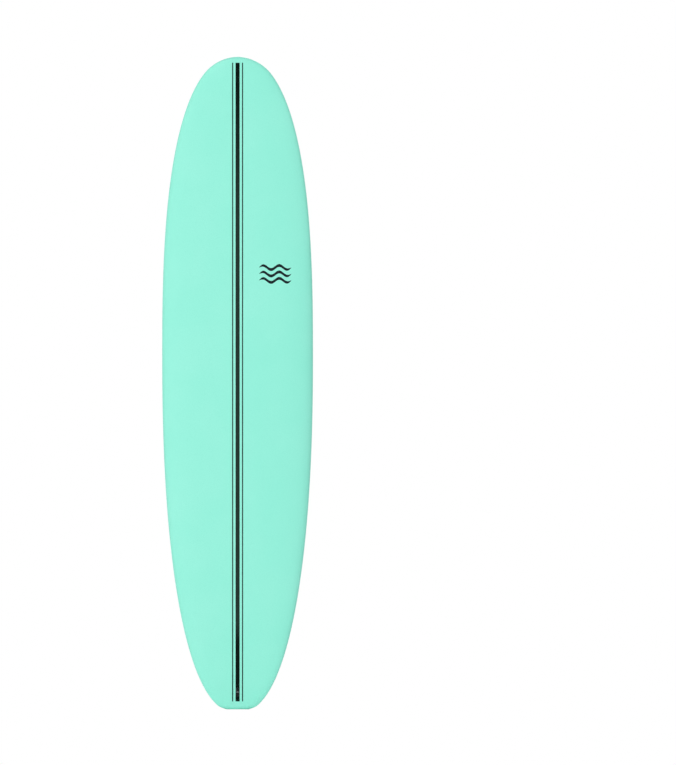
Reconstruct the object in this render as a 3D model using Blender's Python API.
"""Soft-top longboard, built as its separate pieces in Blender.

Frame: metres. +Z runs from the tail to the nose, the deck faces -Y and the bottom +Y, and +X is the rider's
right. The origin is the middle of the flat tail end. All skins, laminates and core strips are cut from one board
form, inset by each layer's depth, and the fittings sit in local frames on the board's surface.
"""
import math

import bmesh
import bpy
from mathutils import Matrix, Vector

# ---------------------------------------------------------------- driving dimensions, metres
LENGTH = 2.743
WIDTH = 0.634
THICKNESS = 0.086
WIDE_POINT = 1.480            # widest section, measured from the tail
THICK_POINT = 1.300           # thickest section, measured from the tail
FLAT_POINT = 1.220            # where the bottom's rocker is lowest

# Outline: half width = WIDTH / 2 * (1 - u ** power) ** root, u running from the wide point to the end.
NOSE_OUTLINE = (2.67, 0.419)
TAIL_OUTLINE = (2.25, 0.430)
TAIL_OVERRUN = 0.014          # the tail curve would close this far past the flat end
TAIL_CORNER = 0.016           # length over which the corners of the flat end are rounded
TAIL_CORNER_CUT = 0.014       # what that rounding takes off each side at the very end
NOSE_TIP = 0.067              # length over which the tip of the nose is drawn in
NOSE_TIP_CUT = 0.011          # what that takes off each side at the very end

NOSE_ROCKER = (0.110, 2.3)    # rise at the end, power of the curve
TAIL_ROCKER = (0.065, 2.2)
NOSE_END_THICKNESS = 0.028
TAIL_END_THICKNESS = 0.030
FOIL_POWER = 2.2
NOSE_ROUND = 0.016            # length of the rounding of the nose in side view
TAIL_ROUND = 0.014
TAIL_FLAT = 0.002             # how much of that rounding the flat tail end cuts off

BOTTOM_SHARE = 0.42           # part of the thickness below the rail's widest line
DECK_FULLNESS = 2.6           # superellipse powers of the section
BOTTOM_FULLNESS = 3.4

GAP = 0.0003                  # clearance between pieces that touch
SKIN = 0.0040                 # foam deck sheet; slick and its foam backing together
SLICK = 0.0013
LAMINATE = 0.0010
SLICK_MARGIN = 0.0060         # how far the slick's edge stays inside the outline
LAMINATE_LAP = 0.0020         # the bottom laminate laps this far past the rail's widest line

CENTRE_STRINGER = 0.006
SIDE_STRINGER = 0.004
SIDE_STRINGER_X = 0.127

STRIPE_WIDTH = 0.0178
PINLINE_WIDTH = 0.0050
PINLINE_X = 0.0208
STRIPE_ENDS = (0.033, 2.718)
FILM = 0.0006

FLANGE_WIDTH = 0.0370
FLANGE_LENGTH = 0.153
FLANGE_DEPTH = 0.0034
FLANGE_PROUD = 0.0003
FLANGE_CHAMFER = 0.0006
BOX_WIDTH = 0.0260
BOX_LENGTH = 0.134
BOX_DEPTH = 0.0230
SLOT_WIDTH = 0.0104
SLOT_FRONT = 0.0545           # slot's nose end, from the flange's middle
SLOT_REAR = -0.0575
SLOT_STEP = 0.0               # the slot is deep in front of here and shallow behind
SLOT_DEEP = 0.0190
SLOT_SHALLOW = 0.0130
CENTRE_BOX_Z = 0.205
SIDE_BOX_Z = 0.431
SIDE_BOX_X = 0.177
SIDE_BOX_TOE = math.radians(3.2)

SCREW_RADIUS = 0.0023
SCREW_LENGTH = 0.0050
SCREW_RECESS = 0.0016         # along its axis
SCREW_TILT = math.radians(30)
SCREW_ENTRY_X = 0.0100        # where its axis meets the flange, from the slot's middle
SCREW_FRONT_Z = 0.0285
SCREW_REAR_Z = -0.0362
SCREW_CLEARANCE = 0.0003
SCREW_POINT_RADIUS = 0.0010   # flat at the tip of the cone
SCREW_POINT_LENGTH = 0.0015
SCREW_EDGE = 0.0003
SCREW_SOCKET = 0.0020         # depth of the hexagon
SCREW_KEY = 0.0025            # hexagon across flats
SCREW_HOLE_RELIEF = 0.0030    # how far the hole runs on past the screw's tip

PLUG_Z = 0.0725
PLUG_WIDTH = 0.0140
PLUG_LENGTH = 0.0380
PLUG_DEPTH = 0.0180
PLUG_WALL = 0.0020
PLUG_FLOOR = 0.0025
BAR_RADIUS = 0.0019
BAR_LENGTH = 0.0134
BAR_DEPTH = 0.0048

GRIP_Z = 1.338
GRIP_X = -0.074
GRIP_LENGTH = 0.124
GRIP_LOBE_WIDTH = 0.030
GRIP_WAIST_WIDTH = 0.020
GRIP_PITCH = 0.0346
GRIP_DEPTH = 0.0400
GRIP_WALL = 0.0022
GRIP_FLOOR = 0.0025

RING_STEPS = 16               # points round a section
END_STEPS = 12                # sections from the widest one to each end
END_CROWDING = 2.4            # sections crowd towards the ends by this power
FAR = 0.30                    # half size of the blocks that cut the board apart
CUT_ABOVE = 0.006             # how far a fitting's cutter stands out of the surface
GROOVE_ABOVE = 0.003          # the same for the grooves of the film strips
OVERSIZE = 0.05               # how far a block that trims the laminates reaches past the outline
OUTLINE_TIP = 0.0005          # half width left at the closed ends of an outline
STRIP_END_ROOM = 0.005        # no section of a strip's cutter comes nearer to its ends than this
HOLE_STEPS = 16

BOTTOM, DECK = 1, -1          # the side of the rail line, along Y

# ---------------------------------------------------------------- the board's shape


def half_width(z):
    """Half the board's width at height z."""
    if z >= WIDE_POINT:
        run = LENGTH - WIDE_POINT
        power, root = NOSE_OUTLINE
    else:
        run = WIDE_POINT + TAIL_OVERRUN
        power, root = TAIL_OUTLINE
    u = min(1.0, abs(z - WIDE_POINT) / run)
    corner = TAIL_CORNER_CUT * max(0.0, 1 - z / TAIL_CORNER) ** 2
    tip = NOSE_TIP_CUT * max(0.0, 1 - (LENGTH - z) / NOSE_TIP) ** 2
    return max(0.0, WIDTH / 2 * (1 - u ** power) ** root - corner - tip)


def thickness(z):
    """Thickness on the centreline, before the ends are rounded."""
    towards_nose = z >= THICK_POINT
    end = NOSE_END_THICKNESS if towards_nose else TAIL_END_THICKNESS
    run = LENGTH - THICK_POINT if towards_nose else THICK_POINT
    u = min(1.0, abs(z - THICK_POINT) / run)
    return end + (THICKNESS - end) * (1 - u ** FOIL_POWER)


def rocker(z):
    """How far the bottom's centreline has curved towards the deck at height z."""
    towards_nose = z >= FLAT_POINT
    rise, power = NOSE_ROCKER if towards_nose else TAIL_ROCKER
    run = LENGTH - FLAT_POINT if towards_nose else FLAT_POINT
    return rise * min(1.0, abs(z - FLAT_POINT) / run) ** power


def rail_line(z):
    """Y of the rail's widest line; it is zero at the tail end."""
    lift = TAIL_ROCKER[0] + BOTTOM_SHARE * TAIL_END_THICKNESS
    return lift - rocker(z) - BOTTOM_SHARE * thickness(z)


def end_round(z):
    """Factor on the thickness that rounds the nose and the tail in side view."""
    if LENGTH - z < NOSE_ROUND:
        cut = 1 - (LENGTH - z) / NOSE_ROUND
    elif z < TAIL_ROUND:
        cut = (TAIL_ROUND - z) / (TAIL_ROUND + TAIL_FLAT)
    else:
        return 1.0
    return math.sqrt(max(0.0, 1 - cut * cut))


def half_depth(z, side):
    """Distance on the centreline from the rail line to the deck or the bottom."""
    share = BOTTOM_SHARE if side == BOTTOM else 1 - BOTTOM_SHARE
    return share * thickness(z) * end_round(z)


def surface_y(x, z, side):
    """Y of the deck or the bottom at a point of the plan."""
    power = BOTTOM_FULLNESS if side == BOTTOM else DECK_FULLNESS
    across = min(1.0, abs(x) / half_width(z))
    return rail_line(z) + side * half_depth(z, side) * (1 - across ** power) ** (1 / power)


def section_point(z, angle):
    """Point of the section at height z; angle 0 is the right rail, 90 degrees the middle of the bottom."""
    cos, sin = math.cos(angle), math.sin(angle)
    side = BOTTOM if sin >= 0 else DECK
    power = BOTTOM_FULLNESS if side == BOTTOM else DECK_FULLNESS
    across = math.copysign(abs(cos) ** (2 / power), cos)
    up = abs(sin) ** (2 / power)
    return Vector((across * half_width(z), rail_line(z) + side * half_depth(z, side) * up, z))


def stations():
    """Heights of the sections, from the flat tail end up to the last one before the nose's tip."""
    steps = [(1 - i / END_STEPS) ** END_CROWDING for i in range(END_STEPS)]
    tail = [0.0] + [WIDE_POINT * s for s in reversed(steps)]
    nose = [LENGTH - (LENGTH - WIDE_POINT) * s for s in steps[1:]]
    return tail + nose


def board_faces(count):
    """Triangles over the rings of sections: a fan at the tail, one band between rings, a fan at the nose."""
    tail_pole, nose_pole = count * RING_STEPS, count * RING_STEPS + 1
    faces = []
    for j in range(RING_STEPS):
        k = (j + 1) % RING_STEPS
        faces.append((tail_pole, k, j))
        for i in range(count - 1):
            low, high = i * RING_STEPS, (i + 1) * RING_STEPS
            faces.append((low + j, low + k, high + k))
            faces.append((low + j, high + k, high + j))
        top = (count - 1) * RING_STEPS
        faces.append((top + j, top + k, nose_pole))
    return faces


def board_surface():
    """Points of the board's surface, the direction in which each moves for an inset, and the triangles."""
    heights = stations()
    points = [section_point(z, 2 * math.pi * j / RING_STEPS) for z in heights for j in range(RING_STEPS)]
    points.append(Vector((0.0, rail_line(0.0), 0.0)))
    points.append(Vector((0.0, rail_line(LENGTH), LENGTH)))
    faces = board_faces(len(heights))
    mesh = bmesh.new()
    verts = [mesh.verts.new(p) for p in points]
    for face in faces:
        mesh.faces.new([verts[i] for i in face])
    mesh.normal_update()
    directions = [v.normal * v.calc_shell_factor() for v in verts]
    mesh.free()
    return points, directions, faces


# ---------------------------------------------------------------- objects, materials and cutters


def clear_scene():
    """Remove every object of the scene."""
    for thing in list(bpy.data.objects):
        bpy.data.objects.remove(thing, do_unlink=True)


def material(name, colour, roughness, metallic=0.0):
    """A Principled material with its plain values set."""
    made = bpy.data.materials.new(name)
    made.use_nodes = True
    shader = made.node_tree.nodes["Principled BSDF"]
    shader.inputs["Base Color"].default_value = (*colour, 1.0)
    shader.inputs["Roughness"].default_value = roughness
    shader.inputs["Metallic"].default_value = metallic
    return made


def new_object(name, points, faces, finish=None, place=None, fix_normals=False):
    """An object from points and faces; without a finish it is a hidden cutter."""
    mesh = bpy.data.meshes.new(name)
    mesh.from_pydata([tuple(p) for p in points], [], faces)
    if fix_normals:
        work = bmesh.new()
        work.from_mesh(mesh)
        bmesh.ops.recalc_face_normals(work, faces=work.faces)
        work.to_mesh(mesh)
        work.free()
    made = bpy.data.objects.new(name, mesh)
    bpy.context.scene.collection.objects.link(made)
    if place is not None:
        made.matrix_world = place
    if finish is None:
        made.hide_render = True
        made.display_type = 'WIRE'
    else:
        mesh.materials.append(finish)
    return made


def cut(target, cutter, operation='DIFFERENCE'):
    """Add an exact Boolean to the target."""
    step = target.modifiers.new(operation.title(), 'BOOLEAN')
    step.operation = operation
    step.solver = 'EXACT'
    step.object = cutter


def smooth(thing, degrees=35):
    """Shade a piece smooth, with its sharp edges kept."""
    thing.data.shade_smooth()
    thing.data.set_sharp_from_angle(angle=math.radians(degrees))


def board_form(name, surface, outer, inner=None, finish=None):
    """The board inset by `outer`; with `inner` it is the layer between the two insets."""
    points, directions, faces = surface
    verts = [p - d * outer for p, d in zip(points, directions)]
    tris = list(faces)
    if inner is not None:
        first = len(verts)
        verts += [p - d * inner for p, d in zip(points, directions)]
        tris += [tuple(first + i for i in reversed(face)) for face in faces]
    return new_object(name, verts, tris, finish)


def rail_block(name, edges, side, lift=0.0):
    """A cutter that starts on the rail line and runs far out on one side; edges are (z, low x, high x)."""
    near = [rail_line(min(LENGTH, max(0.0, z))) + lift for z, _, _ in edges]
    far = [side * FAR] * len(edges)
    verts = []
    for (z, low, high), y_near, y_far in zip(edges, near, far):
        verts += [(low, y_near, z), (high, y_near, z), (high, y_far, z), (low, y_far, z)]
    faces = [(0, 1, 2, 3)]
    for i in range(len(edges) - 1):
        base = 4 * i
        for a in range(4):
            b = (a + 1) % 4
            faces.append((base + a, base + b, base + 4 + b, base + 4 + a))
    last = 4 * (len(edges) - 1)
    faces.append((last + 3, last + 2, last + 1, last))
    return new_object(name, verts, faces, fix_normals=True)


def outline_edges(inset):
    """The plan outline drawn in by `inset` on every side, as edges for a rail block."""
    narrower = (WIDTH / 2 - inset) / (WIDTH / 2)
    shorter = (LENGTH - 2 * inset) / LENGTH
    edges = []
    for z in stations() + [LENGTH]:
        half = max(OUTLINE_TIP, half_width(z) * narrower)
        edges.append((inset + z * shorter, -half, half))
    return edges


def strip_edges(x, width, ends):
    """Edges of a straight strip along the board, for a rail block."""
    low, high = ends
    inside = [z for z in stations() if low + STRIP_END_ROOM < z < high - STRIP_END_ROOM]
    return [(z, x - width / 2, x + width / 2) for z in [low] + inside + [high]]


def slab(name, low_x, high_x):
    """A cutter between two planes across the board."""
    verts = [(x, y, z) for z in (-FAR, LENGTH + FAR) for y in (-FAR, FAR) for x in (low_x, high_x)]
    faces = [(0, 2, 3, 1), (4, 5, 7, 6), (0, 1, 5, 4), (2, 6, 7, 3), (0, 4, 6, 2), (1, 3, 7, 5)]
    return new_object(name, verts, faces, fix_normals=True)


def surface_frame(x, z, side, toe=0.0):
    """Frame on the surface: Y points out of the board, Z to the nose turned by `toe` towards the centreline."""
    step = 0.001
    y = surface_y(x, z, side)
    across = Vector((2 * step, surface_y(x + step, z, side) - surface_y(x - step, z, side), 0)).normalized()
    along = Vector((0, surface_y(x, z + step, side) - surface_y(x, z - step, side), 2 * step)).normalized()
    out = along.cross(across).normalized() * side
    inward = -across if x > 0 else across
    up = along * math.cos(toe) + inward * math.sin(toe)
    up = (up - out * up.dot(out)).normalized()
    right = out.cross(up)
    frame = Matrix((right, out, up)).transposed().to_4x4()
    frame.translation = Vector((x, y, z))
    return frame


# ---------------------------------------------------------------- outlines in a fitting's X and Z


def stadium(width, length, middle=0.0, steps=8):
    """A slot shape: straight sides and half-round ends."""
    radius = width / 2
    straight = length / 2 - radius
    points = []
    for end in (1, -1):
        for i in range(steps + 1):
            angle = math.pi * i / steps
            height = straight + radius * math.sin(angle)
            points.append((end * radius * math.cos(angle), middle + end * height))
    return points


def lobed(inset=0.0, steps=10):
    """The finger grip's outline: four lobes a side, waists between them, round corners at the ends."""
    mean = (GRIP_LOBE_WIDTH + GRIP_WAIST_WIDTH) / 4
    swing = (GRIP_LOBE_WIDTH - GRIP_WAIST_WIDTH) / 4
    end_lobe = 1.5 * GRIP_PITCH
    corner = GRIP_LENGTH / 2 - end_lobe
    corner_steps, squareness = 5, 0.7
    half_length = GRIP_LENGTH / 2 - inset
    side = []
    heights = [end_lobe * (i / steps - 1) for i in range(2 * steps + 1)]
    for z in heights:
        side.append((mean - swing * math.cos(2 * math.pi * z / GRIP_PITCH) - inset, z))
    full = GRIP_LOBE_WIDTH / 2 - inset
    depth = corner - inset
    for i in range(1, corner_steps):
        angle = math.pi / 2 * i / corner_steps
        x = full * math.cos(angle) ** squareness
        z = depth * math.sin(angle) ** squareness
        side.append((x, end_lobe + z))
        side.insert(0, (x, -end_lobe - z))
    tip = [(0.0, half_length)]
    return side + tip + [(-x, z) for x, z in reversed(side)] + [(0.0, -half_length)]


def circle(radius, steps=12):
    """A circle's points."""
    turn = 2 * math.pi / steps
    return [(radius * math.cos(turn * i), radius * math.sin(turn * i)) for i in range(steps)]


def hexagon(apothem, steps=12):
    """A hexagon with as many points as `circle`."""
    points = []
    for i in range(steps):
        angle = 2 * math.pi * i / steps
        radius = apothem / math.cos((angle + math.pi / 6) % (math.pi / 3) - math.pi / 6)
        points.append((radius * math.cos(angle), radius * math.sin(angle)))
    return points


def loft(name, rings, finish=None, place=None):
    """A closed body through rings of equal point counts, given as (outline, y), capped at both ends."""
    count = len(rings[0][0])
    verts = [(x, y, z) for outline, y in rings for x, z in outline]
    faces = [tuple(range(count)), tuple(range(len(verts) - count, len(verts)))]
    for r in range(len(rings) - 1):
        low, high = r * count, (r + 1) * count
        for j in range(count):
            k = (j + 1) % count
            faces.append((low + j, low + k, high + k, high + j))
    return new_object(name, verts, faces, finish, place, fix_normals=True)


def rod(name, radius, length, centre, finish=None, place=None, steps=16):
    """A cylinder along the fitting's X axis."""
    ends = [(Vector(centre) + Vector((s * length / 2, 0, 0))) for s in (-1, 1)]
    verts = [(end.x, end.y + y, end.z + z) for end in ends for y, z in circle(radius, steps)]
    faces = [tuple(range(steps)), tuple(range(steps, 2 * steps))]
    faces += [(j, (j + 1) % steps, steps + (j + 1) % steps, steps + j) for j in range(steps)]
    return new_object(name, verts, faces, finish, place, fix_normals=True)


# ---------------------------------------------------------------- fittings


def screw_place(box_place, z, hand):
    """Frame of a grub screw: origin on the flange's plane, Y pointing out along the screw's axis."""
    tilt = Matrix.Rotation(-hand * SCREW_TILT, 4, 'Z')
    return box_place @ Matrix.Translation((hand * SCREW_ENTRY_X, 0, z)) @ tilt


def fin_box(name, place, finish, screw_finish):
    """A fin box with its slot and its two clamping screws."""
    body = stadium(BOX_WIDTH, BOX_LENGTH)
    flange = stadium(FLANGE_WIDTH, FLANGE_LENGTH)
    flange_top = stadium(FLANGE_WIDTH - 2 * FLANGE_CHAMFER, FLANGE_LENGTH - 2 * FLANGE_CHAMFER)
    rings = [(body, -BOX_DEPTH), (body, -FLANGE_DEPTH), (flange, -FLANGE_DEPTH)]
    rings += [(flange, FLANGE_PROUD - FLANGE_CHAMFER), (flange_top, FLANGE_PROUD)]
    box = loft(name, rings, finish, place)
    smooth(box)
    middle = (SLOT_FRONT + SLOT_REAR) / 2
    whole = stadium(SLOT_WIDTH, SLOT_FRONT - SLOT_REAR, middle)
    front = stadium(SLOT_WIDTH, SLOT_FRONT - SLOT_STEP, (SLOT_FRONT + SLOT_STEP) / 2)
    cut(box, loft(name + "_slot", [(whole, -SLOT_SHALLOW), (whole, CUT_ABOVE)], place=place))
    cut(box, loft(name + "_deep_slot", [(front, -SLOT_DEEP), (front, CUT_ABOVE)], place=place))
    for label, z, hand in (("front", SCREW_FRONT_Z, -1), ("rear", SCREW_REAR_Z, 1)):
        where = screw_place(place, z, hand)
        hole = circle(SCREW_RADIUS + SCREW_CLEARANCE, HOLE_STEPS)
        reach = SCREW_RECESS + SCREW_LENGTH + SCREW_HOLE_RELIEF
        cut(box, loft(f"{name}_{label}_hole", [(hole, -reach), (hole, CUT_ABOVE)], place=where))
        grub_screw(name.replace("fin_box", "grub_screw") + "_" + label, where, screw_finish)
    return box


def grub_screw(name, where, finish):
    """A cone-point grub screw with a hexagon socket, its origin in the middle of its head."""
    side, key = circle(SCREW_RADIUS), hexagon(SCREW_KEY / 2)
    rings = [(circle(SCREW_POINT_RADIUS), -SCREW_LENGTH), (side, SCREW_POINT_LENGTH - SCREW_LENGTH)]
    rings += [(side, -SCREW_EDGE), (circle(SCREW_RADIUS - SCREW_EDGE), 0.0), (key, 0.0), (key, -SCREW_SOCKET)]
    screw = loft(name, rings, finish, where @ Matrix.Translation((0, -SCREW_RECESS, 0)))
    smooth(screw)
    return screw


def fin_pocket(name, place):
    """The room that a fin box takes in the layers round it."""
    body = stadium(BOX_WIDTH + 2 * GAP, BOX_LENGTH + 2 * GAP)
    flange = stadium(FLANGE_WIDTH + 2 * GAP, FLANGE_LENGTH + 2 * GAP)
    step = -FLANGE_DEPTH - GAP
    rings = [(body, -BOX_DEPTH - GAP), (body, step), (flange, step), (flange, CUT_ABOVE)]
    return loft(name + "_pocket", rings, place=place)


def leash_plug(place, cup_finish, bar_finish):
    """The leash plug's cup and its cross bar."""
    outer = stadium(PLUG_WIDTH, PLUG_LENGTH)
    inner = stadium(PLUG_WIDTH - 2 * PLUG_WALL, PLUG_LENGTH - 2 * PLUG_WALL)
    rings = [(outer, -PLUG_DEPTH), (outer, FLANGE_PROUD), (inner, FLANGE_PROUD),
             (inner, PLUG_FLOOR - PLUG_DEPTH)]
    cup = loft("leash_plug_cup", rings, cup_finish, place)
    smooth(cup)
    centre = (0, -BAR_DEPTH, 0)
    cut(cup, rod("leash_bar_hole", BAR_RADIUS + GAP, 2 * PLUG_WIDTH, centre, place=place))
    bar = rod("leash_plug_bar", BAR_RADIUS, BAR_LENGTH, centre, bar_finish, place)
    smooth(bar)
    room = stadium(PLUG_WIDTH + 2 * GAP, PLUG_LENGTH + 2 * GAP)
    return loft("leash_plug_pocket", [(room, -PLUG_DEPTH - GAP), (room, CUT_ABOVE)], place=place)


def finger_grip(place, finish):
    """The scalloped cup that the fingers hook into when the board is carried."""
    outer, inner = lobed(), lobed(GRIP_WALL)
    rings = [(outer, -GRIP_DEPTH), (outer, FLANGE_PROUD), (inner, FLANGE_PROUD),
             (inner, GRIP_FLOOR - GRIP_DEPTH)]
    cup = loft("finger_grip_cup", rings, finish, place)
    smooth(cup)
    room = lobed(-GAP)
    return loft("finger_grip_pocket", [(room, -GRIP_DEPTH - GAP), (room, CUT_ABOVE)], place=place)


# ---------------------------------------------------------------- layers and core


def deck_pieces(surface, plug_pocket, foam, film, glass):
    """The foam deck skin with its inlaid strips, and the laminate under it."""
    skin = board_form("deck_skin", surface, 0.0, SKIN, foam)
    cut(skin, rail_block("slick_window", outline_edges(SLICK_MARGIN), BOTTOM))
    low, high = STRIPE_ENDS
    for name, x, width in (("centre_stripe", 0.0, STRIPE_WIDTH), ("pinline_left", -PINLINE_X, PINLINE_WIDTH),
                           ("pinline_right", PINLINE_X, PINLINE_WIDTH)):
        groove = board_form(name + "_groove", surface, -GROOVE_ABOVE, FILM + GAP)
        cut(groove, rail_block(name + "_bed", strip_edges(x, width, (low, high)), DECK), 'INTERSECT')
        cut(skin, groove)
        strip = board_form(name, surface, 0.0, FILM, film)
        inner = strip_edges(x, width - 2 * GAP, (low + GAP, high - GAP))
        cut(strip, rail_block(name + "_cut", inner, DECK), 'INTERSECT')
        if x == 0.0:
            cut(strip, plug_pocket)
        smooth(strip)
    cut(skin, plug_pocket)
    smooth(skin)
    laminate = board_form("deck_laminate", surface, SKIN + GAP, SKIN + GAP + LAMINATE, glass)
    cut(laminate, rail_block("deck_laminate_edge", outline_edges(-OVERSIZE), BOTTOM, -LAMINATE_LAP - GAP))
    cut(laminate, plug_pocket)
    smooth(laminate)


def bottom_pieces(surface, pockets, slick, foam, glass):
    """The slick bottom sheet, its foam backing and the laminate under them."""
    window = rail_block("slick_outline", outline_edges(SLICK_MARGIN + GAP), BOTTOM)
    below = rail_block("bottom_laminate_edge", outline_edges(-OVERSIZE), BOTTOM, -LAMINATE_LAP)
    layers = (("bottom_slick", 0.0, SLICK, window, slick),
              ("bottom_foam", SLICK + GAP, SKIN, window, foam),
              ("bottom_laminate", SKIN + GAP, SKIN + GAP + LAMINATE, below, glass))
    for name, outer, inner, limit, finish in layers:
        sheet = board_form(name, surface, outer, inner, finish)
        cut(sheet, limit, 'INTERSECT')
        for pocket in pockets:
            cut(sheet, pocket)
        smooth(sheet)


def core_pieces(surface, pockets, plug_pocket, foam, wood):
    """The foam core's strips and the stringers glued between them."""
    fin_centre, fin_left, fin_right, grip = pockets
    centre = CENTRE_STRINGER / 2
    inner, outer = SIDE_STRINGER_X - SIDE_STRINGER / 2, SIDE_STRINGER_X + SIDE_STRINGER / 2
    pieces = (("core_left_outer", -FAR - WIDTH, -outer - GAP, foam, (fin_left,)),
              ("stringer_left", -outer, -inner, wood, ()),
              ("core_left_inner", -inner + GAP, -centre - GAP, foam, (fin_centre, plug_pocket, grip)),
              ("stringer_centre", -centre, centre, wood, (fin_centre, plug_pocket)),
              ("core_right_inner", centre + GAP, inner - GAP, foam, (fin_centre, plug_pocket)),
              ("stringer_right", inner, outer, wood, ()),
              ("core_right_outer", outer + GAP, FAR + WIDTH, foam, (fin_right,)))
    for name, low_x, high_x, finish, holes in pieces:
        piece = board_form(name, surface, SKIN + LAMINATE + 2 * GAP, None, finish)
        cut(piece, slab(name + "_slab", low_x, high_x), 'INTERSECT')
        for hole in holes:
            cut(piece, hole)
        smooth(piece)


def main():
    """Build the whole board."""
    clear_scene()
    mint_foam = material("mint_foam", (0.30, 0.87, 0.71), 0.55)
    black_film = material("black_film", (0.012, 0.020, 0.018), 0.45)
    white_slick = material("white_slick", (0.90, 0.90, 0.90), 0.25)
    white_foam = material("white_foam", (0.80, 0.82, 0.82), 0.70)
    core_foam = material("core_foam", (0.92, 0.92, 0.90), 0.80)
    glass_laminate = material("glass_laminate", (0.75, 0.80, 0.74), 0.30)
    stringer_wood = material("stringer_wood", (0.52, 0.33, 0.17), 0.60)
    black_nylon = material("black_nylon", (0.030, 0.030, 0.030), 0.50)
    steel = material("steel", (0.60, 0.60, 0.62), 0.25, 1.0)
    grip_rubber = material("grip_rubber", (0.045, 0.045, 0.045), 0.65)

    surface = board_surface()
    boxes = (("fin_box_centre", 0.0, CENTRE_BOX_Z, 0.0),
             ("fin_box_left", -SIDE_BOX_X, SIDE_BOX_Z, SIDE_BOX_TOE),
             ("fin_box_right", SIDE_BOX_X, SIDE_BOX_Z, SIDE_BOX_TOE))
    pockets = []
    for name, x, z, toe in boxes:
        place = surface_frame(x, z, BOTTOM, toe)
        fin_box(name, place, black_nylon, steel)
        pockets.append(fin_pocket(name, place))
    pockets.append(finger_grip(surface_frame(GRIP_X, GRIP_Z, BOTTOM), grip_rubber))
    plug_pocket = leash_plug(surface_frame(0.0, PLUG_Z, DECK), black_nylon, steel)

    deck_pieces(surface, plug_pocket, mint_foam, black_film, glass_laminate)
    bottom_pieces(surface, pockets, white_slick, white_foam, glass_laminate)
    core_pieces(surface, pockets, plug_pocket, core_foam, stringer_wood)


main()
